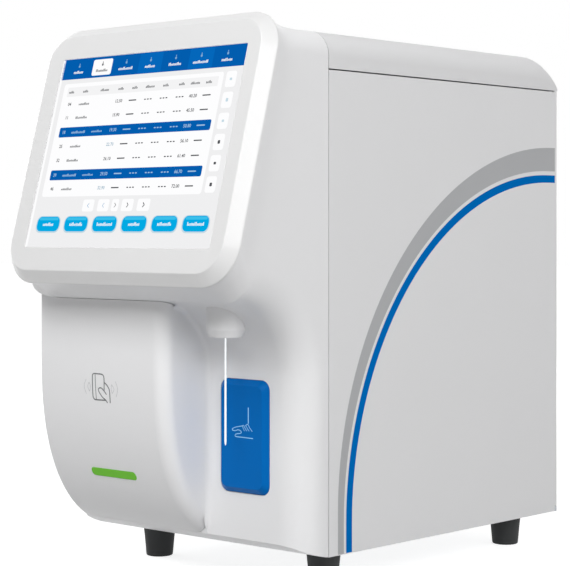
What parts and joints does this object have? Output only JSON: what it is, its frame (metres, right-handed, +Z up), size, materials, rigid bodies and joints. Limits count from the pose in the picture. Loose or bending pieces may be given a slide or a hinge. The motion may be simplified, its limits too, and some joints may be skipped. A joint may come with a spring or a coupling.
{
  "type": "hematology analyzer",
  "caption": "Benchtop blood analyzer: tilted touch screen over an open sampling bay with a lifting needle, a wide aspirate key, and a side service door over the fluidics.",
  "frame": {"origin": "on the bench under the middle of the whole object, between the feet", "axes": "+Z up; the user stands at -Y and faces the screen, +X is the side of the service door"},
  "size_m": [0.3032, 0.5208, 0.5234],
  "materials": {
    "casing_white": "satin white moulded casing",
    "bezel_white": "bright white moulded bezel",
    "panel_grey": "light grey side with printed grey and blue arcs",
    "sheet_zinc": "folded sheet metal",
    "screen_glass": "touch glass over a colour display",
    "key_blue": "blue moulded key with a white pictogram",
    "light_green": "green lens",
    "rubber_black": "black rubber",
    "plastic_black": "black moulding",
    "steel": "bright steel",
    "brass": "machined brass",
    "board_green": "solder-masked board",
    "clear_plastic": "clear plastic, stored opaque",
    "natural_plastic": "natural white plastic"
  },
  "bodies": {
    "chassis": {"front_casing": "casing_white", "belly_cover": "casing_white", "top_cover": "casing_white", "probe_shroud": "casing_white", "display_bezel": "bezel_white", "left_panel": "panel_grey", "rear_panel": "sheet_zinc", "base_plate": "sheet_zinc", "lift_bracket": "sheet_zinc", "mid_divider": "sheet_zinc", "door_post": "sheet_zinc", "bath_bracket": "sheet_zinc", "syringe_bracket": "sheet_zinc", "power_supply": "sheet_zinc", "lcd_module": "sheet_zinc", "touch_screen": "screen_glass", "status_light": "light_green", "foot_front_left": "rubber_black", "foot_rear_left": "rubber_black", "foot_front_right": "rubber_black", "foot_rear_right": "rubber_black", "drive_belt": "rubber_black", "door_magnet": "plastic_black", "probe_motor": "plastic_black", "data_sockets": "plastic_black", "power_inlet": "plastic_black", "switch_frame": "plastic_black", "fan_frame": "plastic_black", "syringe_motor": "plastic_black", "solenoid_valve_1": "plastic_black", "solenoid_valve_2": "plastic_black", "solenoid_valve_3": "plastic_black", "waste_pump": "plastic_black", "door_pin_lower": "steel", "door_pin_upper": "steel", "probe_rail": "steel", "fan_guard": "steel", "display_board": "board_green", "key_switch_board": "board_green", "main_board": "board_green", "counting_bath_1": "clear_plastic", "counting_bath_2": "clear_plastic", "syringe_barrel": "clear_plastic", "valve_manifold": "clear_plastic", "wash_block": "natural_plastic", "reagent_port_1": "natural_plastic", "reagent_port_2": "natural_plastic", "reagent_port_3": "natural_plastic", "reagent_port_4": "natural_plastic"},
    "key": {"aspirate_key": "key_blue"},
    "lift": {"probe_carriage": "plastic_black", "sample_probe": "steel"},
    "drive_wheel": {"drive_pulley": "brass"},
    "idler_wheel": {"idler_pulley": "brass"},
    "door": {"service_door": "panel_grey"},
    "rocker": {"power_rocker": "plastic_black"},
    "fan": {"fan_rotor": "plastic_black"},
    "waste_roller": {"waste_rotor": "natural_plastic"},
    "syringe": {"syringe_plunger": "steel"}
  },
  "joints": [
    {"name": "key_press", "type": "slide", "parent": "chassis", "child": "key", "axis": [0, 1, 0], "range_m": [0, 0.0025], "stiffness_N_per_m": 800, "springref_m": -0.001},
    {"name": "probe_lift", "type": "slide", "parent": "chassis", "child": "lift", "axis": [0, 0, 1], "range_m": [0, 0.104]},
    {"name": "drive_wheel_turn", "type": "hinge", "parent": "chassis", "child": "drive_wheel", "pos_m": [0.112, -0.11991, 0.446], "axis": [0, 1, 0], "range_deg": [0, 760]},
    {"name": "idler_wheel_turn", "type": "hinge", "parent": "chassis", "child": "idler_wheel", "pos_m": [0.112, -0.11991, 0.314], "axis": [0, 1, 0], "range_deg": [0, 760]},
    {"name": "door_hinge", "type": "hinge", "parent": "chassis", "child": "door", "pos_m": [0.1425, 0.24759, 0.253], "axis": [0, 0, 1], "range_deg": [0, 100]},
    {"name": "rocker_throw", "type": "hinge", "parent": "chassis", "child": "rocker", "pos_m": [-0.067, 0.24509, 0.092], "axis": [1, 0, 0], "range_deg": [0, 16]},
    {"name": "fan_spin", "type": "hinge", "parent": "chassis", "child": "fan", "pos_m": [-0.09, 0.23409, 0.182], "axis": [0, 1, 0], "continuous": true},
    {"name": "waste_roller_spin", "type": "hinge", "parent": "chassis", "child": "waste_roller", "pos_m": [0.082, -0.02791, 0.09], "axis": [1, 0, 0], "continuous": true},
    {"name": "syringe_stroke", "type": "slide", "parent": "chassis", "child": "syringe", "axis": [0, 0, 1], "range_m": [-0.045, 0]}
  ],
  "couplings": [
    {"joint": "drive_wheel_turn", "follows": "probe_lift", "rad_per_m": 126.58},
    {"joint": "idler_wheel_turn", "follows": "probe_lift", "rad_per_m": 126.58}
  ]
}
